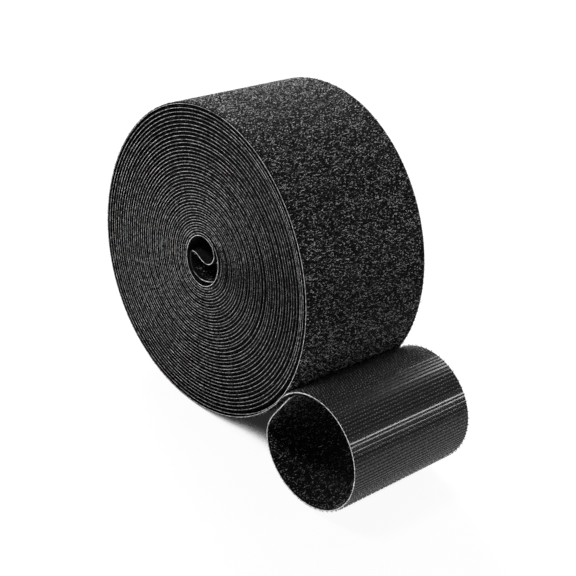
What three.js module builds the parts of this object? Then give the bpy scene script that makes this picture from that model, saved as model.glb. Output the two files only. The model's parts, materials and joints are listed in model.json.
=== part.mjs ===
// A roll of back-to-back hook and loop tape.
//
// Two webs make the tape: a loop fabric, which faces out of the roll, and a hook film, which faces
// in. The start of the tape lies folded in an S across the eye. The tape is wound on itself without
// a core, and its free end leaves the roll low on one side and curls back the other way, so that the
// hooks are on the outside of the curl. A strip bends anywhere, so the curl is a chain of short flat
// lengths, each hinged to the one before it across the tape's width.
//
// Millimetres, +Z up. X points from the roll to the curl and Y runs along the roll's axis. The origin
// is on the floor, midway along the flat on which the roll stands. The tape's line is drawn in the
// XZ plane, midway between the two webs, and runs from the eye outwards.

import * as THREE from "three";

// Driving dimensions: the tape
const TAPE_WIDTH = 50.8;
const LOOP_FABRIC_THICKNESS = 0.5;
const HOOK_FILM_THICKNESS = 0.45;
const BOND_LINE = 0.3; // between the two webs

// Driving dimensions: the roll, measured across its flats where the free end leaves it
const ROLL_DIAMETER = 104;
const EYE_DIAMETER = 16;
const EYE_SHIFT_X = 1.4; // how far the eye has crept off the roll's centre
const EYE_SHIFT_Z = 1.6;
const TURN_GAP = 0.7; // least space between a turn and the next, on a roll with a central eye
const MOST_TURNS = 24;
const FACETS_PER_TURN = 24;

// Driving dimensions: the folded start
const START_JOIN_ANGLE = 60; // degrees, where the S runs into the first turn
const START_BEND_RADIUS = 1.4; // the sharp bend on the left
const START_SWEEP_RADIUS = 3.6; // the wide bend on the right
const START_LEAD_FACETS = 9; // length of the trapped lead, along the first turn
const START_BEND_STEPS = 8;
const SEAM_GAP = 0.3; // between the S and the first turn

// Driving dimensions: the curled end, measured across its flats where it starts
const CURL_DIAMETER = 39.5;
const TUCK_GAP = 0.8; // between the tucked end and the tape above it
const LINK_GAP = 0.3; // least space between neighbouring lengths of the curl
const LINKS = 12;
const LINKS_TO_FLOOR = 8; // the length that lies on the floor, counted from the roll

// Sizes that follow from them
const LOOP_SIDE = { near: BOND_LINE / 2, far: BOND_LINE / 2 + LOOP_FABRIC_THICKNESS };
const HOOK_SIDE = { near: -BOND_LINE / 2, far: -BOND_LINE / 2 - HOOK_FILM_THICKNESS };
const TAPE_THICKNESS = LOOP_SIDE.far - HOOK_SIDE.far;
const FACET_ANGLE = (2 * Math.PI) / FACETS_PER_TURN;
const FLOOR_ANGLE = -Math.PI / 2;

const LOOP_FABRIC = new THREE.MeshStandardMaterial({ color: 0x1b1b1d, roughness: 0.95, metalness: 0 });
const HOOK_FILM = new THREE.MeshStandardMaterial({ color: 0x2b2c2f, roughness: 0.45, metalness: 0 });

// Directions in the XZ plane

function heading(angle) {
  return new THREE.Vector2(Math.cos(angle), Math.sin(angle));
}

function leftOf(direction) {
  return new THREE.Vector2(-direction.y, direction.x);
}

// The point `distance` from `point` along `direction`.
function along(point, direction, distance) {
  return point.clone().addScaledVector(direction, distance);
}

// Facets: straight stretches of tape, on the line at `reach` from a centre with its normal at `angle`

function foot(facet) {
  return heading(facet.angle).multiplyScalar(facet.reach);
}

// Where a facet meets its neighbour.
function corner(facet, next) {
  const turn = next.angle - facet.angle;
  const run = (next.reach - facet.reach * Math.cos(turn)) / Math.sin(turn);
  return along(foot(facet), leftOf(heading(facet.angle)), run);
}

// The webs of a stretch of tape

// A line moved sideways, to the right of its travel where `distance` is positive.
function moved(line, distance) {
  const runs = line.slice(1).map((point, i) => point.clone().sub(line[i]).normalize());
  return line.map((point, i) => {
    const before = leftOf(runs[Math.max(i - 1, 0)]);
    const after = leftOf(runs[Math.min(i, runs.length - 1)]);
    const mitre = before.clone().add(after).divideScalar(1 + before.dot(after));
    return along(point, mitre, -distance);
  });
}

function web(name, material, line, side) {
  const outline = [...moved(line, side.near), ...moved(line, side.far).reverse()];
  const geometry = new THREE.ExtrudeGeometry(new THREE.Shape(outline), {
    depth: TAPE_WIDTH,
    bevelEnabled: false,
  });
  geometry.rotateX(Math.PI / 2).translate(0, TAPE_WIDTH / 2, 0);
  const mesh = new THREE.Mesh(geometry, material);
  mesh.name = name;
  return mesh;
}

function bothWebs(stretch, line) {
  return [
    web(`${stretch}_loop_fabric`, LOOP_FABRIC, line, LOOP_SIDE),
    web(`${stretch}_hook_film`, HOOK_FILM, line, HOOK_SIDE),
  ];
}

// The curl, as facets that step clockwise and inwards from the line on which the tape leaves the roll

const curlRadius = CURL_DIAMETER / 2 + HOOK_SIDE.far;
const rollRadius = ROLL_DIAMETER / 2 - LOOP_SIDE.far;
const touchAngle = Math.asin((curlRadius - rollRadius) / (curlRadius + rollRadius));
const leaveFacets = Math.round((touchAngle - FLOOR_ANGLE) / FACET_ANGLE);
const leaveAngle = FLOOR_ANGLE + leaveFacets * FACET_ANGLE;
const linkAngle = (Math.PI + leaveAngle - FLOOR_ANGLE) / LINKS_TO_FLOOR;
const linkStepIn = ((TAPE_THICKNESS + TUCK_GAP) * linkAngle) / (2 * Math.PI);
const linkEndGap = LOOP_SIDE.far * Math.tan(linkAngle / 2) + LINK_GAP / 2;

function curlFacet(link) {
  return { angle: Math.PI + leaveAngle - link * linkAngle, reach: curlRadius - link * linkStepIn };
}

// The winding, as facets that step anticlockwise and outwards; every facet 0 mod a turn faces the floor

const startFacet = Math.round((THREE.MathUtils.degToRad(START_JOIN_ANGLE) - FLOOR_ANGLE) / FACET_ANGLE);
const startRadius = EYE_DIAMETER / 2 - HOOK_SIDE.far;
const build = rollRadius - startRadius;
const turnsThatFit = build / (TAPE_THICKNESS + TURN_GAP) + (startFacet - leaveFacets) / FACETS_PER_TURN;
const wholeTurns = Math.min(MOST_TURNS, Math.floor(turnsThatFit));
const leaveFacet = wholeTurns * FACETS_PER_TURN + leaveFacets;

function windingFacet(index) {
  const angle = FLOOR_ANGLE + index * FACET_ANGLE;
  const progress = (index - startFacet) / (leaveFacet - startFacet);
  const creep = new THREE.Vector2(EYE_SHIFT_X, EYE_SHIFT_Z).dot(heading(angle));
  return { angle, reach: startRadius + build * progress + creep * (1 - progress) };
}

function windingCorner(index) {
  return corner(windingFacet(index), windingFacet(index + 1));
}

function windingMiddle(index) {
  return windingCorner(index - 1).lerp(windingCorner(index), 0.5);
}

// The line of the wound stretch, about the roll's centre, up to the curl's first hinge.
function windingLine(curlCentre) {
  const startRun = leftOf(heading(windingFacet(startFacet).angle));
  const line = [along(windingMiddle(startFacet), startRun, SEAM_GAP / 2)];
  for (let index = startFacet; index < leaveFacet; index += 1) {
    line.push(windingCorner(index));
  }
  const firstHinge = corner(curlFacet(0), curlFacet(1)).add(curlCentre);
  line.push(along(firstHinge, leftOf(heading(leaveAngle)), -linkEndGap));
  return line;
}

// The folded start: a lead trapped inside the first turn, a sharp bend, a run across the eye, a sweep

// Points of a bend, between two headings; `hand` is 1 where it turns left and -1 where it turns right.
function bend(centre, radius, fromHeading, toHeading, hand) {
  const points = [];
  for (let step = 0; step <= START_BEND_STEPS; step += 1) {
    const angle = THREE.MathUtils.lerp(fromHeading, toHeading, step / START_BEND_STEPS);
    points.push(along(centre, leftOf(heading(angle)), -hand * radius));
  }
  return points;
}

function startLine() {
  const bendFacet = -FACETS_PER_TURN / 4;
  const bendSide = windingFacet(bendFacet).angle;
  const sweepSide = windingFacet(startFacet).angle;
  const bendCentre = along(windingMiddle(bendFacet), heading(bendSide), -START_BEND_RADIUS);
  const sweepEnd = windingMiddle(startFacet);
  const sweepCentre = along(sweepEnd, heading(sweepSide), -START_SWEEP_RADIUS);
  const across = sweepCentre.clone().sub(bendCentre);
  const reach = (START_BEND_RADIUS + START_SWEEP_RADIUS) / across.length();
  const runHeading = Math.atan2(across.y, across.x) - Math.asin(reach);
  const bendHeading = bendSide - Math.PI / 2 + 2 * Math.PI;
  const sweepHeading = sweepSide + Math.PI / 2;

  const lead = [];
  for (let facets = START_LEAD_FACETS; facets > 0; facets -= 1) {
    lead.push(windingCorner(bendFacet + facets - 1));
  }
  const sharp = bend(bendCentre, START_BEND_RADIUS, bendHeading, runHeading, -1);
  const sweep = bend(sweepCentre, START_SWEEP_RADIUS, runHeading, sweepHeading, 1);
  const seam = along(sweepEnd, heading(sweepHeading), -SEAM_GAP / 2);
  return [...lead, ...sharp, ...sweep.slice(0, -1), seam];
}

// The curled end: a chain of hinged lengths, each group's X along the tape and its origin at the hinge

function box(name, material, length, side) {
  const thickness = Math.abs(side.far - side.near);
  const mesh = new THREE.Mesh(new THREE.BoxGeometry(length, TAPE_WIDTH, thickness), material);
  mesh.name = name;
  mesh.position.set(linkEndGap + length / 2, 0, -(side.near + side.far) / 2);
  return mesh;
}

function curl(curlCentre) {
  const hinge = corner(curlFacet(0), curlFacet(1)).add(curlCentre);
  const root = new THREE.Group();
  root.position.set(hinge.x, 0, hinge.y);
  root.rotation.y = -(leaveAngle + Math.PI / 2);

  let parent = root;
  let hingeAt = 0;
  for (let link = 1; link <= LINKS; link += 1) {
    const group = new THREE.Group();
    group.name = `tail_flex_${String(link).padStart(2, "0")}`;
    group.position.x = hingeAt;
    group.rotation.y = linkAngle;
    parent.add(group);

    const facetLength = 2 * curlFacet(link).reach * Math.tan(linkAngle / 2);
    const length = facetLength - 2 * linkEndGap;
    const number = String(link).padStart(2, "0");
    group.add(box(`tail_loop_fabric_${number}`, LOOP_FABRIC, length, LOOP_SIDE));
    group.add(box(`tail_hook_film_${number}`, HOOK_FILM, length, HOOK_SIDE));
    parent = group;
    hingeAt = facetLength;
  }
  return root;
}

// The least distance from the hook side of each turn to the loop side of the turn inside it.
function leastGap(line) {
  const inner = moved(line, LOOP_SIDE.far);
  const outer = moved(line, HOOK_SIDE.far);
  const nearest = new THREE.Vector3();
  let gap = Infinity;
  for (let i = FACETS_PER_TURN; i < outer.length; i += 1) {
    const point = new THREE.Vector3(outer[i].x, outer[i].y, 0);
    const below = i - FACETS_PER_TURN;
    for (let j = Math.max(below - 1, 0); j <= below + 1; j += 1) {
      const run = new THREE.Line3(
        new THREE.Vector3(inner[j].x, inner[j].y, 0),
        new THREE.Vector3(inner[j + 1].x, inner[j + 1].y, 0),
      );
      run.closestPointToPoint(point, true, nearest);
      gap = Math.min(gap, nearest.distanceTo(point));
    }
  }
  return gap;
}

// Assembly: the roll and the curl both stand on the floor, and share the line between them

const rollCentreHeight = windingFacet(wholeTurns * FACETS_PER_TURN).reach + LOOP_SIDE.far;
const curlCentreHeight = curlFacet(LINKS_TO_FLOOR).reach - HOOK_SIDE.far;
const leaveReach = windingFacet(leaveFacet).reach + curlRadius;
const curlDrop = curlCentreHeight - rollCentreHeight;
const curlCentreX = (leaveReach - curlDrop * Math.sin(leaveAngle)) / Math.cos(leaveAngle);

const woundLine = windingLine(new THREE.Vector2(curlCentreX, curlDrop));
console.log(`${wholeTurns} turns, least gap between turns ${leastGap(woundLine).toFixed(2)} mm`);

const roll = new THREE.Group();
roll.name = "roll";
roll.position.z = rollCentreHeight;
roll.add(...bothWebs("wound", woundLine));
roll.add(...bothWebs("start_fold", startLine()));

const tapeRoll = new THREE.Group();
tapeRoll.name = "hook_and_loop_tape_roll";
tapeRoll.add(roll);
tapeRoll.add(curl(new THREE.Vector2(curlCentreX, curlCentreHeight)));

export default tapeRoll;
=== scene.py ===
"""A roll of back-to-back hook and loop tape, its free end curled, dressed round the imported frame.

The tape is drawn as one long line in the XZ plane, in millimetres, from the folded start in the eye to
the tucked end of the curl. The loop side is on the right of its travel and the hook side on its left.
"""

import json
import math

import bpy
import numpy as np
from mathutils import Matrix, Vector


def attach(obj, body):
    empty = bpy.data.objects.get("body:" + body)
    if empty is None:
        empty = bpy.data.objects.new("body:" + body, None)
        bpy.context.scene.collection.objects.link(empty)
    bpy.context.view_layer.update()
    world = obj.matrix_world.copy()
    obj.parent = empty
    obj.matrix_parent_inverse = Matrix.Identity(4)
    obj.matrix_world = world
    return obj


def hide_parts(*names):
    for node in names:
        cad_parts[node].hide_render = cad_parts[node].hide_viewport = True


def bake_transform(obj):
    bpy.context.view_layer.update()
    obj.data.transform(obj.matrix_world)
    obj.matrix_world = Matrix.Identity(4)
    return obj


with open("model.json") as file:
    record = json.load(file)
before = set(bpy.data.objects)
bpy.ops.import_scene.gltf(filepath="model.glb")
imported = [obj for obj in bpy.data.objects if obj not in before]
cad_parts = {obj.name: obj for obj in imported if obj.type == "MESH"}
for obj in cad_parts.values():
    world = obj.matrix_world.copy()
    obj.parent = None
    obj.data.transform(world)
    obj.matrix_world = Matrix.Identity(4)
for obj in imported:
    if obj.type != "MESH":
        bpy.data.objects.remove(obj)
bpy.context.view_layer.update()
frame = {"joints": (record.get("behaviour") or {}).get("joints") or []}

METRES = 0.001

# Seeds of the random detail
EDGE_SEED = 41
PILE_SEED = 42
FIBRE_SEED = 43
START_SEED = 44
CURL_SEED = 45
SLACK_SEED = 46

# Sizes of the tape: across its width, and heights from its middle line, above nought on the loop side
HALF_WIDTH = 25.4
HOOK_TIPS = -0.60
FILM = (-0.085, 0.07)
CURL_FILM = (-0.17, 0.12)
LOOP_BASE = (0.12, 0.30)
PILE_TIPS = 0.65
ROOT_DEPTH = 0.04  # how far loops and hooks are sunk into what they stand on
PILE_ROOTS = LOOP_BASE[1] - ROOT_DEPTH
CURL_HOOK_ROOTS = CURL_FILM[0] + ROOT_DEPTH
FABRIC_MARGIN = 0.05  # between the fabric's edge and the film's
PILE_MARGIN = 0.15  # between the outermost loops and the film's edge

# Sizes of the roll
ROLL_RADIUS = 51.35
END_RADIUS = 50.85
INNER_RADIUS = 8.25
EYE_SHIFT = np.array([0.9, 2.15])
EYE_SQUEEZE = 0.10  # how much narrower than high the eye is
SQUEEZE_TURNS = 7
EYE_DEPTH = 7.0  # how far in from each face the eye has hooks and loops
LEAVE_ANGLE = math.radians(-30)
LEAVE_BULGE = 0.6  # the last turn but one stands out where the tape leaves the roll
LEAVE_BULGE_TURNS = 0.05
JOIN_ANGLE = math.radians(60)
WOUND_TURNS = 40.75
LAST_TURN = WOUND_TURNS - 1
FLOOR_TURN = WOUND_TURNS - 1 / 6  # where the outermost turn stands on the floor
FIRST_PITCH = 0.83
# The roll is a little out of round: waves a turn, and their cosine and sine parts at the outermost turn
ROUND_WAVES = [(0, 0.42, 0.0), (1, 0.21, 0.385), (2, -0.48, 0.19), (3, 0.24, -0.51)]
# Here and there the winding is slack or tight, mostly on the side towards the curl
SLACK = 0.15
SLACK_FROM = 1.5  # turns
SLACK_UNTIL = WOUND_TURNS - 3
SLACK_EVERY = 0.8
SLACK_EVERYWHERE = 0.3
CURL_BEARING = 0.2  # radians up from the level, the middle of that side

# Sizes of the curl
CURL_CENTRE = np.array([62.0, 19.63])
CURL_RADIUS = 19.29
CURL_WAVES = [(2, 0.18, 0.36), (3, 0.05, -0.11)]
CURL_START_DIP = 0.28
CURL_START_EASE = math.radians(28)
CURL_TUCK = 2.45
CURL_TUCK_FROM = math.radians(310)
CURL_TUCK_TO = math.radians(352)
CURL_STRAIGHT_END = 5.9  # how fast the tucked end straightens out
LINKS = 12
LINK_ANGLE = math.radians(30)
CURL_LINKS = LINKS + 0.5  # the tip is half as long as a link
CURL_STEPS_PER_LINK = 90

# The folded start, drawn from its free end to where it joins the winding
FOLD_LINE = np.array([
    (7.2, 49.2), (5.1, 48.0), (2.9, 47.2), (0.9, 46.9), (-1.0, 47.2), (-2.4, 47.75), (-3.5, 48.6),
    (-4.4, 49.9), (-4.95, 51.35), (-5.15, 52.8), (-4.95, 53.8), (-4.35, 54.4), (-3.5, 54.75),
    (-2.3, 54.75), (-0.7, 54.3), (1.1, 53.7), (2.6, 53.6), (4.2, 54.05), (5.5, 55.3), (6.1, 56.7),
    (6.2, 58.2),
])
FOLD_STEPS = 12  # from one of these points to the next
FOLD_SPACING = 0.2
FOLD_SMOOTHINGS = 4
JUST_AFTER = 0.006  # turns
# The trapped lead lies further in than the faces, and eases out to them at its end.
LEAD_RECESS = 0.3
LEAD_EASE_END = 20.0
LEAD_EASE = 6.0
# Its edge has a painted highlight, then its plain colour, then painted shade in black up to these
# distances along the line, and the painted highlight again beyond.
LEAD_HIGHLIGHT_UNTIL = 7.0
LEAD_PLAIN_UNTIL = 10.0
LEAD_SHADE_UNTIL = 18.0


# The tape's line


def polar(angle):
    angle = np.asarray(angle, float)
    return np.stack([np.cos(angle), np.sin(angle)], -1)


def waves(angle, parts):
    return sum(cosine * np.cos(count * angle) + sine * np.sin(count * angle)
               for count, cosine, sine in parts)


def ease(amount):
    amount = np.clip(amount, 0, 1)
    return amount * amount * (3 - 2 * amount)


def distances(points):
    """How far along its line each point is."""
    return np.concatenate([[0], np.cumsum(np.linalg.norm(np.diff(points, axis=0), axis=1))])


first_hinge = next(joint for joint in frame["joints"] if joint["name"] == "tail_flex_01")["pos_m"]
hinge_x = first_hinge[0] / METRES
hinge_z = first_hinge[2] / METRES
# The first hinge is on the line that touches the roll where the tape leaves it.
roll_height = hinge_z - (ROLL_RADIUS - hinge_x * math.cos(LEAVE_ANGLE)) / math.sin(LEAVE_ANGLE)
roll_centre = np.array([0.0, roll_height])
floor_radius = roll_height - PILE_TIPS
last_pitch = 2 * (floor_radius - INNER_RADIUS) / FLOOR_TURN - FIRST_PITCH

slack_marks = np.arange(SLACK_FROM, SLACK_UNTIL, SLACK_EVERY)
slack_levels = np.random.default_rng(SLACK_SEED).normal(0, SLACK, len(slack_marks))
slack_levels = np.clip(slack_levels, -2 * SLACK, 2 * SLACK)
slack_levels[[0, -1]] = 0


def winding_pitch(turn):
    return FIRST_PITCH + (last_pitch - FIRST_PITCH) * np.minimum(turn / FLOOR_TURN, 1)


def curl_side(angle):
    """One on the side of the roll towards the curl, none on the far side."""
    return ((1 + np.cos(angle - CURL_BEARING)) / 2) ** 2


def slack(turn, angle):
    """How far the winding stands out beyond an even spiral."""
    share = SLACK_EVERYWHERE + (1 - SLACK_EVERYWHERE) * curl_side(angle)
    return np.interp(turn, slack_marks, slack_levels) * share


def winding(turn):
    """Points of the winding, counted in turns from where the folded start joins it."""
    turn = np.asarray(turn, float)
    radius = INNER_RADIUS + FIRST_PITCH * turn + (last_pitch - FIRST_PITCH) * turn**2 / (2 * FLOOR_TURN)
    last = (turn - FLOOR_TURN) / (WOUND_TURNS - FLOOR_TURN)
    radius = np.where(last > 0, floor_radius + (END_RADIUS - floor_radius) * last, radius)
    angle = JOIN_ANGLE + 2 * math.pi * turn
    radius = radius + waves(angle, ROUND_WAVES) * (turn / WOUND_TURNS) ** 2 + slack(turn, angle)
    radius = radius + LEAVE_BULGE * np.exp(-(((turn - LAST_TURN) / LEAVE_BULGE_TURNS) ** 2))
    middle = roll_centre + EYE_SHIFT * (1 - turn / WOUND_TURNS)[..., None]
    spoke = polar(angle)
    spoke[..., 0] *= 1 - EYE_SQUEEZE * np.exp(-turn / SQUEEZE_TURNS)
    return middle + radius[..., None] * spoke


def spaced(points, step):
    """The same line with evenly spaced points."""
    marks = distances(points)
    places = np.linspace(0, marks[-1], int(marks[-1] / step) + 1)
    return np.stack([np.interp(places, marks, points[:, axis]) for axis in (0, 1)], -1)


def folded_start():
    """A smooth line through the fold's points, as far as the start of the winding."""
    join, after = winding(np.array([0.0, JUST_AFTER]))
    ends = np.concatenate([[2 * FOLD_LINE[0] - FOLD_LINE[1]], FOLD_LINE, [join, after]])
    share = np.linspace(0, 1, FOLD_STEPS, endpoint=False)[:, None]
    pieces = []
    for before, near, far, beyond in zip(ends[:-3], ends[1:-2], ends[2:-1], ends[3:]):
        slope = far - before
        square = 2 * before - 5 * near + 4 * far - beyond
        cube = -before + 3 * near - 3 * far + beyond
        pieces.append((2 * near + slope * share + square * share**2 + cube * share**3) / 2)
    fold = spaced(np.concatenate([*pieces, [join]]), FOLD_SPACING)
    for _ in range(FOLD_SMOOTHINGS):
        fold[1:-1] = (fold[:-2] + 2 * fold[1:-1] + fold[2:]) / 4
    return fold[:-1]


def curl(angle):
    """Points of the curl, by the angle it has turned through since it left the roll's line."""
    angle = np.asarray(angle, float)
    spoke = math.pi + LEAVE_ANGLE - angle
    radius = CURL_RADIUS + waves(spoke, CURL_WAVES)
    radius = radius - CURL_START_DIP * ease(1 - angle / CURL_START_EASE)
    radius = radius - CURL_TUCK * ease((angle - CURL_TUCK_FROM) / (CURL_TUCK_TO - CURL_TUCK_FROM))
    radius = radius + CURL_STRAIGHT_END * np.maximum(angle - CURL_TUCK_TO, 0) ** 2
    return CURL_CENTRE + radius[..., None] * polar(spoke)


COARSE_STEPS = 96  # a turn
FINE_STEPS = 300
FINE_FROM = LAST_TURN - 0.15
BRIDGE_POINTS = 7  # on the straight bridge from the roll to the curl
start_points = folded_start()
coarse_turns = np.arange(0, FINE_FROM, 1 / COARSE_STEPS)
fine_turns = np.linspace(FINE_FROM, WOUND_TURNS, int((WOUND_TURNS - FINE_FROM) * FINE_STEPS))
wound_turns = np.concatenate([coarse_turns, fine_turns])
wound_points = winding(wound_turns)
curl_steps = int(CURL_LINKS * CURL_STEPS_PER_LINK)
curl_points = curl(np.linspace(0, CURL_LINKS * LINK_ANGLE, curl_steps + 1))
bridge_points = np.linspace(wound_points[-1], curl_points[0], BRIDGE_POINTS + 2)[1:-1]

line = np.concatenate([start_points, wound_points, bridge_points, curl_points])
run = distances(line)
travel = np.stack([np.gradient(line[:, axis], run) for axis in (0, 1)], -1)
travel /= np.linalg.norm(travel, axis=1)[:, None]
normal = np.stack([travel[:, 1], -travel[:, 0]], -1)

# Where each stretch starts on the line
WOUND_AT = len(start_points)
BRIDGE_AT = WOUND_AT + len(wound_points)
CURL_AT = BRIDGE_AT + len(bridge_points)
LINE_END = len(line) - 1
turn_along = np.concatenate([
    np.zeros(len(start_points)),
    wound_turns,
    np.full(len(bridge_points) + len(curl_points), WOUND_TURNS),
])

# Each turn's edges stand a little in or out of the roll's faces.
EDGE_SPREAD = 0.07
EDGE_LIMIT = 0.16
EDGE_EVERY = 0.5  # turns
edge_rng = np.random.default_rng(EDGE_SEED)


def uneven_edge(middle):
    marks = np.arange(0, WOUND_TURNS + 2, EDGE_EVERY)
    levels = np.clip(edge_rng.normal(0, EDGE_SPREAD, len(marks)), -EDGE_LIMIT, EDGE_LIMIT)
    return middle + np.interp(turn_along, marks, levels)


front_edge = uneven_edge(-HALF_WIDTH)
back_edge = uneven_edge(HALF_WIDTH)


def along(places):
    """Points, directions of travel and loop-side normals at distances along the line, in 3D."""

    def filled(values):
        flat = np.stack([np.interp(places, run, values[:, axis]) for axis in (0, 1)], -1)
        return np.stack([flat[:, 0], np.zeros(len(flat)), flat[:, 1]], -1)

    return filled(line), filled(travel), filled(normal)


# Meshes: every piece is made of tubes, which are rings of points joined in order and closed at both ends

CELL_RIM = 0.06  # the part of a bake map's cell that is left free on each side


def round_cap(sides):
    return 0.5 + 0.5 * polar(np.arange(sides) * 2 * math.pi / sides)


def strip_cells(stations, sides):
    """A strip has a cell of the bake map for each quad, in rows along each side, and two for its ends."""
    steps = stations - 1
    quads = sides * steps
    cells = (np.arange(sides) * steps + np.arange(steps)[:, None]).ravel()
    places = np.array([(0, CELL_RIM), (0, 1 - CELL_RIM), (1, 1 - CELL_RIM), (1, CELL_RIM)])
    caps = [(np.array([quads + end]), round_cap(sides)) for end in (0, 1)]
    return cells, places, caps, quads + 2


def strand_cells(tubes, stations, sides):
    """Each strand has one cell, with its first end, the rows of its quads and its last end in order."""
    steps = stations - 1
    rows = stations + 1
    columns, quad_rows = np.meshgrid(np.arange(sides), np.arange(1, stations))
    corners = np.array([(0, 0), (1, 0), (1, 1), (0, 1)])
    places = (np.stack([columns, quad_rows], -1)[..., None, :] + corners) / (sides, rows)
    places = CELL_RIM + (1 - 2 * CELL_RIM) * np.tile(places.reshape(-1, 4, 2), (tubes, 1, 1))
    caps = []
    for cap_row in (0, stations):
        flat_cap = (round_cap(sides) + (0, cap_row)) / (1, rows)
        caps.append((np.arange(tubes), CELL_RIM + (1 - 2 * CELL_RIM) * flat_cap))
    return np.repeat(np.arange(tubes), steps * sides), places, caps, tubes


class Shape:
    """Gathers tubes, then makes one object of them."""

    def __init__(self):
        self.points = []
        self.corners = []
        self.sizes = []
        self.slots = []
        self.smooth = []
        self.cells = []
        self.places = []
        self.count = 0
        self.cell_count = 0

    def face(self, corners, slots, smooth, cells, places):
        """Faces of one kind; each lies in a cell of the bake map, with places from 0 to 1 in it."""
        faces, sides = corners.shape
        self.corners.append(corners.ravel())
        self.sizes.append(np.full(faces, sides))
        self.slots.append(np.broadcast_to(slots, faces))
        self.smooth.append(np.full(faces, smooth))
        self.cells.append(np.repeat(self.cell_count + cells, sides))
        self.places.append(np.broadcast_to(places, (faces, sides, 2)).reshape(-1, 2))

    def tubes(self, rings, side_slots, smooth, cap_slot=None):
        """Rings are (tube, station, side, xyz); side_slots gives one material slot or one a side."""
        tubes, stations, sides, _ = rings.shape
        steps = stations - 1
        side = np.arange(sides)
        after = (side + 1) % sides
        tube = (np.arange(tubes) * stations * sides)[:, None] + self.count
        near = tube[..., None] + (np.arange(steps) * sides)[:, None]
        far = near + sides
        quads = np.stack([near + side, near + after, far + after, far + side], -1)
        slots = np.broadcast_to(side_slots, quads.shape[:3]).ravel()
        if cap_slot is None:
            cap_slot = slots[0]
        if tubes == 1:
            cells, places, caps, used = strip_cells(stations, sides)
        else:
            cells, places, caps, used = strand_cells(tubes, stations, sides)
        self.face(quads.reshape(-1, 4), slots, smooth, cells, places)
        self.face(tube + side[::-1], cap_slot, False, *caps[0])
        self.face(tube + steps * sides + side, cap_slot, False, *caps[1])
        self.points.append(rings.reshape(-1, 3))
        self.count += tubes * stations * sides
        self.cell_count += used

    def build(self, name, *materials):
        mesh = bpy.data.meshes.new(name)
        points = np.concatenate(self.points) * METRES
        corners = np.concatenate(self.corners).astype(np.int32)
        sizes = np.concatenate(self.sizes).astype(np.int32)
        starts = np.concatenate([[0], np.cumsum(sizes)[:-1]]).astype(np.int32)
        mesh.vertices.add(len(points))
        mesh.vertices.foreach_set("co", points.astype(np.float32).ravel())
        mesh.loops.add(len(corners))
        mesh.loops.foreach_set("vertex_index", corners)
        mesh.polygons.add(len(sizes))
        mesh.polygons.foreach_set("loop_start", starts)
        mesh.polygons.foreach_set("material_index", np.concatenate(self.slots).astype(np.int32))
        mesh.polygons.foreach_set("use_smooth", np.concatenate(self.smooth))
        mesh.update(calc_edges=True)
        cells = np.concatenate(self.cells)
        across = math.ceil(math.sqrt(self.cell_count))
        corner_of_cell = np.stack([cells % across, cells // across], -1)
        places = (corner_of_cell + np.concatenate(self.places)) / across
        bake_map = mesh.uv_layers.new(name="OFBake", do_init=False)
        bake_map.uv.foreach_set("vector", places.astype(np.float32).ravel())
        mesh.validate()
        for surface in materials:
            mesh.materials.append(surface)
        piece = bpy.data.objects.new(name, mesh)
        bpy.context.scene.collection.objects.link(piece)
        return piece


def ribbon(first, last, low, high, front, back):
    """Rings of a flat strip along part of the line, between two heights and two edges."""
    stretch = slice(first, last + 1)
    count = last + 1 - first
    rings = np.empty((1, count, 4, 3))
    for corner, (height, edge) in enumerate([(low, front), (high, front), (high, back), (low, back)]):
        flat = line[stretch] + np.broadcast_to(height, count)[:, None] * normal[stretch]
        rings[0, :, corner, 0] = flat[:, 0]
        rings[0, :, corner, 1] = edge
        rings[0, :, corner, 2] = flat[:, 1]
    return rings


def strands(paths, planes, radii, sides):
    """Rings of thin tubes along paths (tube, station, xyz) that each lie in a plane with this normal."""
    forward = np.gradient(paths, axis=1)
    forward /= np.linalg.norm(forward, axis=2)[..., None]
    flat = np.broadcast_to(planes[:, None, :], paths.shape)
    upright = np.cross(forward, flat)
    angles = np.arange(sides) * 2 * math.pi / sides + math.pi / sides
    radii = np.broadcast_to(radii, paths.shape[:2])[:, :, None, None]
    cosines = np.cos(angles)[:, None]
    sines = np.sin(angles)[:, None]
    ring = flat[:, :, None, :] * cosines + upright[:, :, None, :] * sines
    return paths[:, :, None, :] + radii * ring


def unit(vectors):
    return vectors / np.linalg.norm(vectors, axis=-1)[..., None]


WIDTHWAYS = np.array([0.0, 1.0, 0.0])

# Loops of the pile; a few are long and lie straighter across the tape
LOOP_SPANS = (0.25, 0.55)
LONG_SPANS = (0.9, 1.7)
LONG_SHARE = 0.05
LOOP_TURN = 0.5  # spread of the angle to straight across, in radians
LONG_TURN_SHARE = 0.3
LOOP_LEAN = 0.35
LOOP_SKEW = 0.22
LOOP_FULLNESS = 0.7  # below one, a loop is broader at its top
LOOP_RADII = (0.045, 0.085)
LOOP_SIDES = 3
LOOP_ARCH = np.linspace(0, math.pi, 5)


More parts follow.
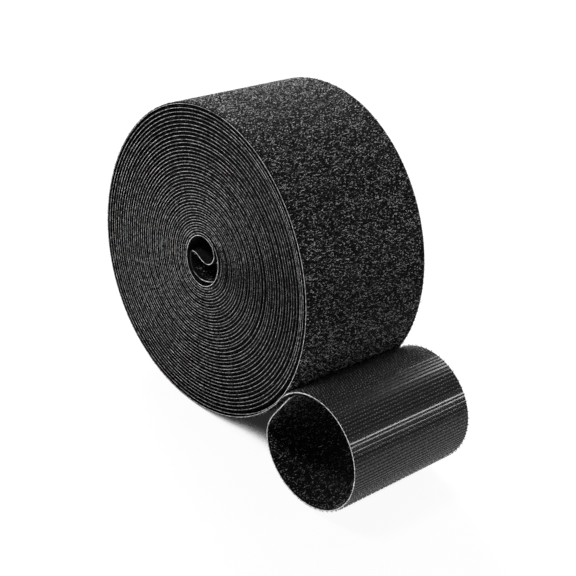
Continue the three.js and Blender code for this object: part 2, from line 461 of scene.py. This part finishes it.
def pile_loops(places, widths, rng, heights, spans=LOOP_SPANS):
    """Rings of small arched loops that stand on the loop side, mostly set across the tape."""
    count = len(places)
    long = rng.random(count) < LONG_SHARE
    centre, forward, out = along(places)
    centre = centre + widths[:, None] * WIDTHWAYS + PILE_ROOTS * out
    turned = (rng.normal(0, LOOP_TURN, count) * np.where(long, LONG_TURN_SHARE, 1))[:, None]
    across = np.cos(turned) * WIDTHWAYS + np.sin(turned) * forward
    leaning = unit(out + rng.normal(0, LOOP_LEAN, count)[:, None] * np.cross(across, out))
    height = rng.uniform(*heights, count)[:, None, None]
    span = np.where(long, rng.uniform(*LONG_SPANS, count), rng.uniform(*spans, count))
    half = span[:, None, None] / 2
    skew = rng.normal(0, LOOP_SKEW, count)[:, None, None]
    arch = LOOP_ARCH[None, :, None]
    rise = np.sin(arch) ** LOOP_FULLNESS
    paths = centre[:, None, :] - across[:, None, :] * half * (np.cos(arch) + skew * rise)
    paths = paths + leaning[:, None, :] * height * rise
    radii = rng.uniform(*LOOP_RADII, count)[:, None]
    return strands(paths, unit(np.cross(across, leaning)), radii, LOOP_SIDES)


# A hook from its root to its tip: heights and reaches as shares, and radii
HOOK_HEIGHTS = np.array([0.0, 0.55, 0.95, 0.72])
HOOK_REACHES = np.array([0.0, 0.02, 0.30, 0.60])
HOOK_RADII = np.array([0.12, 0.095, 0.10, 0.06])
HOOK_SIDES = 4


def film_hooks(places, widths, heads, root, tip):
    """Rings of bent hooks on the hook side, whose heads point along the tape or against it."""
    centre, forward, out = along(places)
    centre = centre + widths[:, None] * WIDTHWAYS + root * out
    tall = (tip - root) * HOOK_HEIGHTS[None, :, None] / HOOK_HEIGHTS.max()
    reach = abs(tip - root) * HOOK_REACHES[None, :, None] * heads[:, None, None]
    paths = centre[:, None, :] + out[:, None, :] * tall + forward[:, None, :] * reach
    planes = np.broadcast_to(WIDTHWAYS, centre.shape)
    return strands(paths, planes, HOOK_RADII[None, :], HOOK_SIDES)


JITTER = 0.42  # of a step


def jittered(first, last, low, high, step, rng):
    """Distances along the line and places across the tape, on a loose square grid."""
    rows = np.arange(first + step / 2, last, step)
    columns = np.arange(low + step / 2, high, step)
    places, widths = np.meshgrid(rows, columns, indexing="ij")
    places = places + rng.uniform(-JITTER, JITTER, places.shape) * step
    widths = widths + rng.uniform(-JITTER, JITTER, widths.shape) * step
    return np.clip(places.ravel(), first, last), np.clip(widths.ravel(), low, high)


HOOK_STEP = 1.11
HOOK_ROW = 1.0


def hook_grid(first, last, low, high):
    """Hooks in straight rows across the tape; the heads of neighbours in a row point opposite ways."""
    count = max(int(round((last - first) / HOOK_STEP)), 1)
    rows = first + (np.arange(count) + 0.5) * (last - first) / count
    columns = np.arange(low + HOOK_ROW / 4, high - HOOK_ROW / 2, HOOK_ROW)
    places, widths = np.meshgrid(rows, columns, indexing="ij")
    widths = widths + (np.arange(count) % 2 * HOOK_ROW / 2)[:, None]
    heads = np.broadcast_to(np.where(np.arange(len(columns)) % 2, 1.0, -1.0), places.shape)
    return places.ravel(), widths.ravel(), heads.ravel()


# Materials


def material(name):
    made = bpy.data.materials.new(name)
    made.use_nodes = True
    tree = made.node_tree
    return made, tree, tree.nodes["Principled BSDF"]


def link(tree, source, target):
    tree.links.new(source, target)


def noise(tree, scale, detail=2.0, stretch=None):
    """A noise in object space; scale is in waves a metre."""
    place = tree.nodes.new("ShaderNodeTexCoord").outputs["Object"]
    if stretch is not None:
        mapping = tree.nodes.new("ShaderNodeMapping")
        mapping.inputs["Scale"].default_value = stretch
        link(tree, place, mapping.inputs["Vector"])
        place = mapping.outputs["Vector"]
    texture = tree.nodes.new("ShaderNodeTexNoise")
    texture.inputs["Scale"].default_value = scale
    texture.inputs["Detail"].default_value = detail
    link(tree, place, texture.inputs["Vector"])
    return texture.outputs["Fac"]


def by_island(tree):
    """A random value for each loop, hook or fibre."""
    return tree.nodes.new("ShaderNodeNewGeometry").outputs["Random Per Island"]


def ramp(tree, value, stops):
    """Greys between stops, each of which is a place and a level."""
    node = tree.nodes.new("ShaderNodeValToRGB")
    elements = node.color_ramp.elements
    while len(elements) < len(stops):
        elements.new(0.5)
    for element, (place, level) in zip(elements, stops):
        element.position = place
        element.color = (level, level, level, 1)
    link(tree, value, node.inputs["Fac"])
    return node.outputs["Color"]


def bump(tree, shader, height, distance):
    node = tree.nodes.new("ShaderNodeBump")
    node.inputs["Strength"].default_value = 1.0
    node.inputs["Distance"].default_value = distance
    link(tree, height, node.inputs["Height"])
    link(tree, node.outputs["Normal"], shader.inputs["Normal"])


def film_material():
    made, tree, shader = material("hook_film")
    grey = ramp(tree, noise(tree, scale=900), [(0.3, 0.006), (0.7, 0.014)])
    link(tree, grey, shader.inputs["Base Color"])
    rough = ramp(tree, noise(tree, scale=260, stretch=(1, 0.15, 1)), [(0.3, 0.12), (0.7, 0.15)])
    link(tree, rough, shader.inputs["Roughness"])
    shader.inputs["Specular IOR Level"].default_value = 0.4
    bump(tree, shader, noise(tree, scale=2600, detail=1.0), distance=0.00001)
    return made


def hook_material():
    made, tree, shader = material("moulded_hooks_painted_highlights")
    # The hooks are paler than the black film so that their heads show as bright dots: painted highlights
    grey = ramp(tree, by_island(tree), [(0.0, 0.06), (0.6, 0.13), (1.0, 0.26)])
    link(tree, grey, shader.inputs["Base Color"])
    rough = ramp(tree, noise(tree, scale=1800), [(0.3, 0.26), (0.7, 0.42)])
    link(tree, rough, shader.inputs["Roughness"])
    return made


def rib_material():
    made, tree, shader = material("moulded_ribs")
    grey = ramp(tree, noise(tree, scale=1400), [(0.3, 0.003), (0.7, 0.008)])
    link(tree, grey, shader.inputs["Base Color"])
    shader.inputs["Roughness"].default_value = 0.6
    shader.inputs["Specular IOR Level"].default_value = 0.2
    bump(tree, shader, noise(tree, scale=2600, detail=1.0), distance=0.00004)
    return made


def cut_edge_material(name, dark, middle, pale):
    made, tree, shader = material(name)
    grey = ramp(tree, noise(tree, scale=1250, detail=3.0), [(0.36, dark), (0.48, middle), (0.63, pale)])
    link(tree, grey, shader.inputs["Base Color"])
    shader.inputs["Roughness"].default_value = 0.55
    bump(tree, shader, noise(tree, scale=2400), distance=0.00008)
    return made


def loop_base_material():
    made, tree, shader = material("loop_base")
    grey = ramp(tree, noise(tree, scale=1500), [(0.3, 0.002), (0.7, 0.006)])
    link(tree, grey, shader.inputs["Base Color"])
    shader.inputs["Roughness"].default_value = 0.9
    shader.inputs["Specular IOR Level"].default_value = 0.05
    bump(tree, shader, noise(tree, scale=2200, stretch=(1, 0.5, 1)), distance=0.0001)
    return made


def pile_material(name, stops):
    made, tree, shader = material(name)
    link(tree, ramp(tree, by_island(tree), stops), shader.inputs["Base Color"])
    shader.inputs["Roughness"].default_value = 0.5
    shader.inputs["Specular IOR Level"].default_value = 0.08
    bump(tree, shader, noise(tree, scale=5200), distance=0.00003)
    return made


film_black = film_material()
hooks_with_painted_highlights = hook_material()
ribs_black = rib_material()
roll_edge = cut_edge_material("film_cut_edge_wound", dark=0.03, middle=0.22, pale=0.62)
# A paler copy of the cut edge, a painted highlight, for the curl's edges and for the roll's edges that
# catch the light
painted_highlight_edge = cut_edge_material("film_cut_edge_painted_highlight", dark=0.25, middle=0.6, pale=0.95)
loop_base = loop_base_material()
# The loops' greys vary at random from loop to loop; the palest loops, near white, are painted glints
pile = pile_material("loop_pile", [(0.0, 0.002), (0.48, 0.01), (0.68, 0.11), (0.86, 0.42), (1.0, 0.9)])
# A darker copy of the pile for the curl's inside, which lies in shade: painted shade
curl_pile_painted_shade = pile_material(
    "loop_pile_curl_painted_shade", [(0.0, 0.002), (0.56, 0.007), (0.74, 0.08), (0.9, 0.28), (1.0, 0.6)]
)
edge_fuzz = pile_material("edge_fibres", [(0.0, 0.002), (0.8, 0.008), (0.93, 0.06), (1.0, 0.22)])

# The looks of the film on the roll and on the curl, and the material slots of films and fabric; every cut
# edge on the curl has the painted highlight
ROLL_FILM_LOOKS = (film_black, roll_edge, hooks_with_painted_highlights, painted_highlight_edge)
CURL_FILM_LOOKS = (film_black, painted_highlight_edge, hooks_with_painted_highlights, ribs_black)
PLAIN = 0
EDGE = 1
HOOKS = 2
# The slot of the paler cut edge with its painted highlight
HIGHLIGHT_EDGE = 3
RIBS = 3
PILE = 1


def film_sides(edges, hook_side=PLAIN):
    """Material slots along a film: the front edge, the loop side, the back edge and the hook side."""
    plain = np.full_like(edges, PLAIN)
    return np.stack([edges, plain, edges, plain + hook_side], -1)[None]


def dressed(piece, slot, *nodes):
    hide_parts(*nodes)
    return piece


def near_faces(margin):
    """The two stretches of the tape's width that show in the eye, one at each face."""
    return [(margin - HALF_WIDTH, EYE_DEPTH - HALF_WIDTH), (HALF_WIDTH - EYE_DEPTH, HALF_WIDTH - margin)]


# The roll: the film's long spiral with the bridge, and the loop fabric that fills the space between turns

SIDE_DEPTH = 0.70  # how far in the film's edges lie on the side towards the curl
# Painted highlight on the film's cut edges: turns of it in the eye, turns of the rim, and steps of the
# line up to the bridge
HIGHLIGHT_TURNS = 0.9  # in the eye
HIGHLIGHT_RIM = 0.33  # turns of the rim
HIGHLIGHT_STEPS = 60  # of the line, up to the bridge
BRIDGE_HOOK_STEPS = 18
FUZZ_RECESS = 0.6
FILL_GAP = 0.03
wound = slice(WOUND_AT, CURL_AT + 1)
turns = turn_along[wound]
spoke_angle = np.arctan2(line[wound, 1] - roll_height, line[wound, 0])
# The film's depth fades out over two turns towards the rim and over one turn towards the eye.
outer_fade = np.clip((LAST_TURN - 1 - turns) / 2, 0, 1)
inner_fade = np.clip(turns - 1, 0, 1)
film_depth = SIDE_DEPTH * curl_side(spoke_angle) * outer_fade * inner_fade
film_shape = Shape()
film_front = front_edge[wound] + film_depth
film_back = back_edge[wound] - film_depth
# These edges get the paler cut edge, a painted highlight, instead of the plain one
in_eye = turns[:-1] < HIGHLIGHT_TURNS
on_rim = (turns[:-1] > LAST_TURN) & (turns[:-1] < LAST_TURN + HIGHLIGHT_RIM)
by_bridge = np.arange(WOUND_AT, CURL_AT) > BRIDGE_AT - HIGHLIGHT_STEPS
film_edges = np.where(in_eye | on_rim | by_bridge, HIGHLIGHT_EDGE, EDGE)
rings = ribbon(WOUND_AT, CURL_AT, *FILM, film_front, film_back)
film_shape.tubes(rings, film_sides(film_edges), smooth=False)
bridge_hooks = hook_grid(run[BRIDGE_AT - BRIDGE_HOOK_STEPS], run[CURL_AT], -HALF_WIDTH, HALF_WIDTH)
film_shape.tubes(film_hooks(*bridge_hooks, FILM[0], HOOK_TIPS), HOOKS, smooth=True)
for low, high in near_faces(0):
    eye_hooks = hook_grid(run[WOUND_AT], run[WOUND_AT + COARSE_STEPS], low, high)
    film_shape.tubes(film_hooks(*eye_hooks, FILM[0], HOOK_TIPS), PLAIN, smooth=True)
roll_film = film_shape.build("roll_hook_film", *ROLL_FILM_LOOKS)
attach(dressed(roll_film, "hook_film", "wound_hook_film"), "roll")

inner_turns = turns < LAST_TURN
fill_height = np.minimum(PILE_TIPS, winding_pitch(turns) + FILM[0] - FILL_GAP)
fabric_high = np.where(inner_turns, fill_height, LOOP_BASE[1])
recess = np.where(inner_turns, FUZZ_RECESS, FABRIC_MARGIN)
fabric_front = front_edge[wound] + recess
fabric_back = back_edge[wound] - recess
fabric_shape = Shape()
rings = ribbon(WOUND_AT, CURL_AT, LOOP_BASE[0], fabric_high, fabric_front, fabric_back)
fabric_shape.tubes(rings, PLAIN, smooth=False)
roll_fabric = fabric_shape.build("roll_loop_fabric", loop_base)
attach(dressed(roll_fabric, "loop_fabric", "wound_loop_fabric"), "roll")

# The pile on the roll's outside, in sectors

ROLL_PILE_STEP = 0.46
ROLL_PILE_HEIGHTS = (0.16, 0.33)
PILE_SECTORS = 12
PILE_FROM = LAST_TURN - 0.02
PILE_EDGE = HALF_WIDTH - PILE_MARGIN
pile_rng = np.random.default_rng(PILE_SEED)
pile_start = np.interp(PILE_FROM, wound_turns, run[WOUND_AT:BRIDGE_AT])
pile_marks = np.linspace(pile_start, run[CURL_AT], PILE_SECTORS + 1)
for sector in range(PILE_SECTORS):
    stretch = pile_marks[sector : sector + 2]
    grid = jittered(*stretch, -PILE_EDGE, PILE_EDGE, ROLL_PILE_STEP, pile_rng)
    pile_shape = Shape()
    pile_shape.tubes(pile_loops(*grid, pile_rng, ROLL_PILE_HEIGHTS), PLAIN, smooth=True)
    sector_pile = pile_shape.build(f"roll_pile_{sector + 1}", pile)
    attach(sector_pile, "roll")

# Fibres that show between the turns on the roll's two faces

FIBRES_PER_MM = 2.0
FIBRE_FOOT = 0.08  # least height above the fabric's inner side
FIBRE_CLEARANCE = 0.1  # taken off the height in which fibres stand
FIBRE_ROOTS = FUZZ_RECESS + 0.03  # in from the tape's edge, a little inside the fabric
FIBRE_TURN = 0.35
FIBRE_HALF_SPANS = (0.2, 0.5)
FIBRE_HEIGHTS = (0.25, 0.65)
FIBRE_RADIUS = 0.04
FIBRE_SIDES = 3
FIBRE_ARCH = np.linspace(0, math.pi, 4)
FIBRE_SPLIT = 27.0  # turns
fibre_rng = np.random.default_rng(FIBRE_SEED)


def face_fibres(edge, outwards, first_turn, last_turn):
    """Rings of small arched fibres that stand out of one face, mostly set along the tape."""
    first, last = np.interp([first_turn, last_turn], wound_turns, run[WOUND_AT:BRIDGE_AT])
    count = int((last - first) * FIBRES_PER_MM)
    places = fibre_rng.uniform(first, last, count)
    room = winding_pitch(np.interp(places, run, turn_along)) + FILM[0] - FIBRE_CLEARANCE - LOOP_BASE[0]
    heights = LOOP_BASE[0] + FIBRE_FOOT + room * fibre_rng.uniform(0, 1, count)
    centre, forward, out = along(places)
    base = np.interp(places, run, edge) - outwards * FIBRE_ROOTS
    centre = centre + heights[:, None] * out + base[:, None] * WIDTHWAYS
    turned = fibre_rng.normal(0, FIBRE_TURN, count)[:, None]
    lengthways = unit(forward + turned * out)
    half = fibre_rng.uniform(*FIBRE_HALF_SPANS, count)[:, None, None]
    rise = fibre_rng.uniform(*FIBRE_HEIGHTS, count)[:, None, None]
    arch = FIBRE_ARCH[None, :, None]
    paths = centre[:, None, :] - lengthways[:, None, :] * half * np.cos(arch)
    paths = paths + outwards * WIDTHWAYS * rise * np.sin(arch)
    return strands(paths, unit(np.cross(lengthways, WIDTHWAYS)), FIBRE_RADIUS, FIBRE_SIDES)


for face, face_edge, outwards in [("front", front_edge, -1.0), ("back", back_edge, 1.0)]:
    for ring, first_turn, last_turn in [("inner", 0.0, FIBRE_SPLIT), ("outer", FIBRE_SPLIT, LAST_TURN)]:
        fibre_shape = Shape()
        fibre_shape.tubes(face_fibres(face_edge, outwards, first_turn, last_turn), PLAIN, smooth=True)
        fibres = fibre_shape.build(f"roll_{face}_fibres_{ring}", edge_fuzz)
        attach(fibres, "roll")

# The folded start in the eye

START_MARGIN = 0.05
START_FABRIC_INSET = 0.3
START_DETAIL_MARGIN = 1.5
START_HOOK_TIPS = HOOK_TIPS + 0.05
START_PILE_STEP = 0.9
START_PILE_HEIGHTS = (0.12, 0.24)
START_PILE_SPANS = (0.4, 0.8)
start_rng = np.random.default_rng(START_SEED)
start_stretch = (run[0], run[WOUND_AT - 1])
lead_depth = LEAD_RECESS * ease((LEAD_EASE_END - run[: WOUND_AT + 1]) / LEAD_EASE)
lead_front = START_MARGIN - HALF_WIDTH + lead_depth
lead_back = HALF_WIDTH - START_MARGIN - lead_depth
lead_run = run[:WOUND_AT]
# Painted highlight and painted shade along the lead's edges; the black stretch is painted shade where the
# eye's inside is dark
lead_edges = np.where(lead_run < LEAD_HIGHLIGHT_UNTIL, HIGHLIGHT_EDGE, np.where(lead_run < LEAD_PLAIN_UNTIL, EDGE, PLAIN))
lead_edges = np.where(lead_run < LEAD_SHADE_UNTIL, lead_edges, HIGHLIGHT_EDGE)
film_shape = Shape()
rings = ribbon(0, WOUND_AT, *FILM, lead_front, lead_back)
film_shape.tubes(rings, film_sides(lead_edges), smooth=False)
fabric_shape = Shape()
rings = ribbon(0, WOUND_AT, *LOOP_BASE, lead_front + START_FABRIC_INSET, lead_back - START_FABRIC_INSET)
fabric_shape.tubes(rings, PLAIN, smooth=False)
for low, high in near_faces(START_DETAIL_MARGIN):
    start_hooks = hook_grid(*start_stretch, low, high)
    film_shape.tubes(film_hooks(*start_hooks, FILM[0], START_HOOK_TIPS), PLAIN, smooth=True)
    grid = jittered(*start_stretch, low, high, START_PILE_STEP, start_rng)
    loops = pile_loops(*grid, start_rng, START_PILE_HEIGHTS, START_PILE_SPANS)
    fabric_shape.tubes(loops, PILE, smooth=True)
start_film = film_shape.build("start_hook_film", *ROLL_FILM_LOOKS)
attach(dressed(start_film, "hook_film", "start_fold_hook_film"), "roll")
start_fabric = fabric_shape.build("start_loop_fabric", loop_base, pile)
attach(dressed(start_fabric, "loop_fabric", "start_fold_loop_fabric"), "roll")

# The curl: a stretch for each hinge, from the middle of one length to the middle of the next

CURL_PILE_STEP = 0.52
CURL_PILE_HEIGHTS = (0.14, 0.30)
RIB_HEIGHT = 0.05
RIB_SHARE = 0.5
ROWS_PER_LINK = 9
curl_rng = np.random.default_rng(CURL_SEED)
row_part = (np.arange(len(line)) - CURL_AT) * ROWS_PER_LINK / CURL_STEPS_PER_LINK % 1
in_rib = np.abs(row_part - 0.5) < RIB_SHARE / 2
rib = RIB_HEIGHT * in_rib * np.cos((row_part - 0.5) / RIB_SHARE * math.pi)

# A thin tongue of each stretch runs on inside the next, and covers the seam when the tape is straight.
TONGUE_FROM = 3  # steps of the line
TONGUE_TO = 4
TONGUE_SKIN = 0.02
FABRIC_EDGE = HALF_WIDTH - FABRIC_MARGIN


def tongue(last, low, high):
    edge = FABRIC_EDGE - TONGUE_SKIN
    ends = (last - TONGUE_FROM, last + TONGUE_TO)
    return ribbon(*ends, low + TONGUE_SKIN, high - TONGUE_SKIN, -edge, edge)


def curl_stretch(number, first, last):
    """The film with its hooks, and the loop fabric with its pile, between two points of the line."""
    is_end = last == LINE_END
    hook_side = np.where(in_rib[first:last], RIBS, PLAIN)
    sides = film_sides(np.full_like(hook_side, EDGE), hook_side)
    low = CURL_FILM[0] - rib[first : last + 1]
    film_shape = Shape()
    rings = ribbon(first, last, low, CURL_FILM[1], -HALF_WIDTH, HALF_WIDTH)
    film_shape.tubes(rings, sides, smooth=False, cap_slot=EDGE if is_end else PLAIN)
    fabric_shape = Shape()
    rings = ribbon(first, last, *LOOP_BASE, -FABRIC_EDGE, FABRIC_EDGE)
    fabric_shape.tubes(rings, PLAIN, smooth=False)
    if not is_end:
        rings = tongue(last, *CURL_FILM)
        film_shape.tubes(rings, [EDGE, PLAIN, EDGE, PLAIN], smooth=False, cap_slot=PLAIN)
        fabric_shape.tubes(tongue(last, *LOOP_BASE), PLAIN, smooth=False)
    grid = hook_grid(run[first], run[last], -HALF_WIDTH, HALF_WIDTH)
    film_shape.tubes(film_hooks(*grid, CURL_HOOK_ROOTS, HOOK_TIPS), HOOKS, smooth=True)
    grid = jittered(run[first], run[last], -PILE_EDGE, PILE_EDGE, CURL_PILE_STEP, curl_rng)
    fabric_shape.tubes(pile_loops(*grid, curl_rng, CURL_PILE_HEIGHTS), PILE, smooth=True)
    film_piece = film_shape.build(f"curl_hook_film_{number}", *CURL_FILM_LOOKS)
    fabric_piece = fabric_shape.build(f"curl_loop_fabric_{number}", loop_base, curl_pile_painted_shade)
    return film_piece, fabric_piece


before = "roll"
for link_number in range(1, LINKS + 1):
    number = f"{link_number:02d}"
    first = CURL_AT + (link_number - 1) * CURL_STEPS_PER_LINK
    last = first + CURL_STEPS_PER_LINK
    film_piece, fabric_piece = curl_stretch(number, first, last)
    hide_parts(f"tail_hook_film_{number}")
    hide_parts(f"tail_loop_fabric_{number}")
    body = f"tail_{number}"
    for piece in (film_piece, fabric_piece):
        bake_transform(piece)
    before = body

for piece in curl_stretch("tip", CURL_AT + LINKS * CURL_STEPS_PER_LINK, LINE_END):
    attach(piece, before)

# The floor and the light

FLOOR_SIZE = 6.0
FLOOR_DROP = 0.0001
FLOOR_GREY = 0.82
FLOOR_GLOW = 1.0
GLOW_SHARE = 0.94
SHADE_SAMPLES = 40
SHADE_REACH = 0.06
SHADE_FROM = 0.135
SHADE_TO = 0.21
SHADE_GLOW = 0.02
WORLD_LIGHT = 0.1
scene = bpy.context.scene
scene.view_settings.view_transform = "Standard"


def floor_material():
    """Pale and matt; seen by the camera or in a reflection it is white, but for a painted contact shadow
    where ambient occlusion near the object dims its glow, and faint lamp shadows in its matt share.
    """
    made, tree, shader = material("floor")
    tree.nodes.remove(shader)
    matt = tree.nodes.new("ShaderNodeBsdfDiffuse")
    matt.inputs["Color"].default_value = (FLOOR_GREY, FLOOR_GREY, FLOOR_GREY, 1)
    glow = tree.nodes.new("ShaderNodeEmission")
    rays = tree.nodes.new("ShaderNodeLightPath")
    seen = tree.nodes.new("ShaderNodeMath")
    seen.operation = "MAXIMUM"
    link(tree, rays.outputs["Is Camera Ray"], seen.inputs[0])
    link(tree, rays.outputs["Is Glossy Ray"], seen.inputs[1])
    # Painted contact shadow: the floor's glow falls where the object closes off the sky nearby
    open_sky = tree.nodes.new("ShaderNodeAmbientOcclusion")
    open_sky.samples = SHADE_SAMPLES
    open_sky.inputs["Distance"].default_value = SHADE_REACH
    shade = tree.nodes.new("ShaderNodeMapRange")
    shade.interpolation_type = "SMOOTHSTEP"
    shade.inputs["From Min"].default_value = SHADE_FROM
    shade.inputs["From Max"].default_value = SHADE_TO
    shade.inputs["To Min"].default_value = SHADE_GLOW
    shade.inputs["To Max"].default_value = FLOOR_GLOW
    link(tree, open_sky.outputs["AO"], shade.inputs["Value"])
    link(tree, shade.outputs["Result"], glow.inputs["Strength"])
    weight = tree.nodes.new("ShaderNodeMath")
    weight.operation = "MULTIPLY"
    weight.inputs[1].default_value = GLOW_SHARE
    link(tree, seen.outputs[0], weight.inputs[0])
    both = tree.nodes.new("ShaderNodeMixShader")
    link(tree, weight.outputs[0], both.inputs["Fac"])
    link(tree, matt.outputs[0], both.inputs[1])
    link(tree, glow.outputs[0], both.inputs[2])
    link(tree, both.outputs[0], tree.nodes["Material Output"].inputs["Surface"])
    return made


bpy.ops.mesh.primitive_plane_add(size=FLOOR_SIZE, location=(0, 0, -FLOOR_DROP))
floor = bpy.context.object
floor.name = "floor"
floor.data.materials.append(floor_material())


def world_light(level):
    """White to the camera, and a dimmer light all round."""
    world = bpy.data.worlds.new("studio")
    scene.world = world
    world.use_nodes = True
    tree = world.node_tree
    glow = tree.nodes["Background"]
    rays = tree.nodes.new("ShaderNodeLightPath")
    strength = tree.nodes.new("ShaderNodeMapRange")
    strength.inputs["To Min"].default_value = level
    strength.inputs["To Max"].default_value = 1.0
    link(tree, rays.outputs["Is Camera Ray"], strength.inputs["Value"])
    link(tree, strength.outputs["Result"], glow.inputs["Strength"])
    glow.inputs["Color"].default_value = (1, 1, 1, 1)


def lamp(name, power, place, aim, width, length, lengthways):
    """An area lamp whose length lies along a direction, as near as its aim allows."""
    data = bpy.data.lights.new(name, "AREA")
    data.shape = "RECTANGLE"
    data.size = width
    data.size_y = length
    data.energy = power
    made = bpy.data.objects.new(name, data)
    rear = (Vector(place) - Vector(aim)).normalized()
    lengthways = Vector(lengthways)
    lengthways = (lengthways - lengthways.dot(rear) * rear).normalized()
    widthways = lengthways.cross(rear)
    facing = Matrix((widthways, lengthways, rear)).transposed().to_4x4()
    facing.translation = Vector(place)
    made.matrix_world = facing
    scene.collection.objects.link(made)


MIDDLE = (0.015, 0.0, 0.05)
CURL_TOP = (0.064, 0.010, 0.039)
CURL_SIDE = (0.0762, 0.0, 0.0331)
ALONG_X = (1, 0, 0)
ALONG_Y = (0, 1, 0)
world_light(WORLD_LIGHT)
lamp(
    "key", power=17.0, place=(-0.64, 0.22, 0.42), aim=MIDDLE,
    width=0.40, length=0.40, lengthways=ALONG_X,
)
lamp(
    "front_fill", power=5.4, place=(-0.15, -0.42, 0.80), aim=MIDDLE,
    width=0.16, length=0.16, lengthways=ALONG_X,
)
lamp(
    "right_fill", power=0.6, place=(0.80, 0.0, 0.12), aim=MIDDLE,
    width=0.30, length=0.30, lengthways=ALONG_Y,
)
lamp(
    "strip", power=0.9, place=(0.457, 0.396, 0.275), aim=CURL_SIDE,
    width=0.045, length=0.30, lengthways=(-0.30, 0.93, -0.22),
)
lamp(
    "rear", power=2.2, place=(-0.121, 0.622, 0.486), aim=CURL_TOP,
    width=0.20, length=0.37, lengthways=(-0.333, 0.028, -0.142),
)

# The camera

CAMERA_AZIMUTH = math.radians(42.705)
CAMERA_ELEVATION = math.radians(32.267)
CAMERA_ROLL = math.radians(11.331)
CAMERA_TARGET = Vector((0.016354, 0.000113, 0.044765))
CAMERA_DISTANCE = 0.42134
CAMERA_LENS = 80.4
SENSOR_WIDTH = 36
backwards = Vector((
    math.sin(CAMERA_AZIMUTH) * math.cos(CAMERA_ELEVATION),
    -math.cos(CAMERA_AZIMUTH) * math.cos(CAMERA_ELEVATION),
    math.sin(CAMERA_ELEVATION),
))
level_right = Vector((math.cos(CAMERA_AZIMUTH), math.sin(CAMERA_AZIMUTH), 0))
level_up = backwards.cross(level_right)
right = math.cos(CAMERA_ROLL) * level_right + math.sin(CAMERA_ROLL) * level_up
up = math.cos(CAMERA_ROLL) * level_up - math.sin(CAMERA_ROLL) * level_right
camera_data = bpy.data.cameras.new("camera")
camera_data.sensor_width = SENSOR_WIDTH
camera_data.lens = CAMERA_LENS
camera = bpy.data.objects.new("camera", camera_data)
camera_place = CAMERA_TARGET + CAMERA_DISTANCE * backwards
camera.matrix_world = Matrix((
    (right.x, up.x, backwards.x, camera_place.x),
    (right.y, up.y, backwards.y, camera_place.y),
    (right.z, up.z, backwards.z, camera_place.z),
    (0, 0, 0, 1),
))
scene.collection.objects.link(camera)
scene.camera = camera
